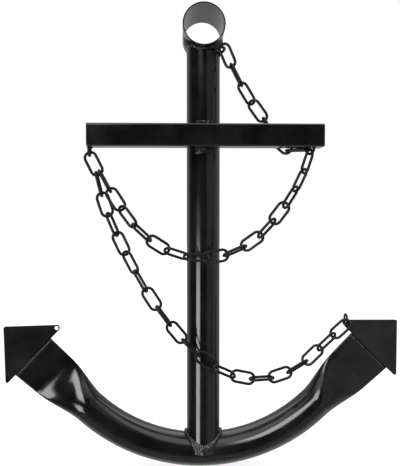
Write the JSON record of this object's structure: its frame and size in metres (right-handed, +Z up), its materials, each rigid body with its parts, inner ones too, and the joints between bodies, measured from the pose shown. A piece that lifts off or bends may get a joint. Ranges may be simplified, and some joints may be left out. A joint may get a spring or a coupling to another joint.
{
  "type": "boat anchor",
  "caption": "Welded tube anchor with a round head ring, square front crossbar, curved arm, two triangular flukes and chain hung in swags.",
  "frame": {"origin": "on the head ring's bore axis where the shank's axis crosses it", "axes": "+Z up along the shank away from the flukes, -Y towards the front where the crossbar is, +X along the crossbar to the side whose fluke holds the chain"},
  "size_m": [0.5789, 0.113, 0.6693],
  "materials": {
    "tube_enamel": "gloss black enamel",
    "arm_enamel": "gloss black enamel",
    "fluke_enamel": "satin gloss black enamel",
    "chain_enamel": "gloss black enamel",
    "weld_enamel": "gloss black enamel over rippled weld"
  },
  "bodies": {
    "anchor_frame": {"head_ring": "tube_enamel", "shank_tube": "tube_enamel", "crossbar_tube": "tube_enamel", "crossbar_cap_left": "tube_enamel", "crossbar_cap_right": "tube_enamel", "arm_tube": "arm_enamel", "left_fluke": "fluke_enamel", "right_fluke": "fluke_enamel", "left_chain_eye": "chain_enamel", "right_chain_eye": "chain_enamel", "head_chain_eye": "chain_enamel", "fluke_ring": "chain_enamel", "head_ring_weld": "weld_enamel", "shank_foot_weld": "weld_enamel", "crossbar_welds": "weld_enamel", "fluke_welds": "weld_enamel", "chain_eye_welds": "weld_enamel", "top_left_link": "chain_enamel"},
    "upper_swag": {"upper_link_01": "chain_enamel", "upper_link_02": "chain_enamel", "upper_link_03": "chain_enamel", "upper_link_04": "chain_enamel", "upper_link_05": "chain_enamel", "upper_link_06": "chain_enamel", "upper_link_07": "chain_enamel", "upper_link_08": "chain_enamel", "upper_link_09": "chain_enamel", "upper_link_10": "chain_enamel", "upper_link_11": "chain_enamel", "upper_link_12": "chain_enamel", "upper_link_13": "chain_enamel", "upper_link_14": "chain_enamel", "upper_link_15": "chain_enamel"},
    "lower_swag": {"lower_link_01": "chain_enamel", "lower_link_02": "chain_enamel", "lower_link_03": "chain_enamel", "lower_link_04": "chain_enamel", "lower_link_05": "chain_enamel", "lower_link_06": "chain_enamel", "lower_link_07": "chain_enamel", "lower_link_08": "chain_enamel", "lower_link_09": "chain_enamel", "lower_link_10": "chain_enamel", "lower_link_11": "chain_enamel", "lower_link_12": "chain_enamel", "lower_link_13": "chain_enamel", "lower_link_14": "chain_enamel", "lower_link_15": "chain_enamel", "lower_link_16": "chain_enamel", "lower_link_17": "chain_enamel", "lower_link_18": "chain_enamel", "lower_link_19": "chain_enamel"},
    "head_chain": {"head_link_01": "chain_enamel", "head_link_02": "chain_enamel", "head_link_03": "chain_enamel", "head_link_04": "chain_enamel", "head_link_05": "chain_enamel", "head_link_06": "chain_enamel", "head_link_07": "chain_enamel"}
  },
  "joints": [
    {"name": "upper_swag_swing", "type": "hinge", "parent": "anchor_frame", "child": "upper_swag", "pos_m": [-0.14474, -0.03833, -0.20968], "axis": [-0.9951, 0.0066, -0.0983], "range_deg": [-1, 28]},
    {"name": "lower_swag_swing", "type": "hinge", "parent": "anchor_frame", "child": "lower_swag", "pos_m": [-0.15027, -0.03774, -0.21231], "axis": [-0.8576, -0.0618, 0.5106], "range_deg": [0, 13]},
    {"name": "head_chain_swing", "type": "hinge", "parent": "anchor_frame", "child": "head_chain", "pos_m": [0.0275, -0.02308, -0.03012], "axis": [-0.6273, 0.0447, 0.7775], "range_deg": [-1, 4]}
  ]
}
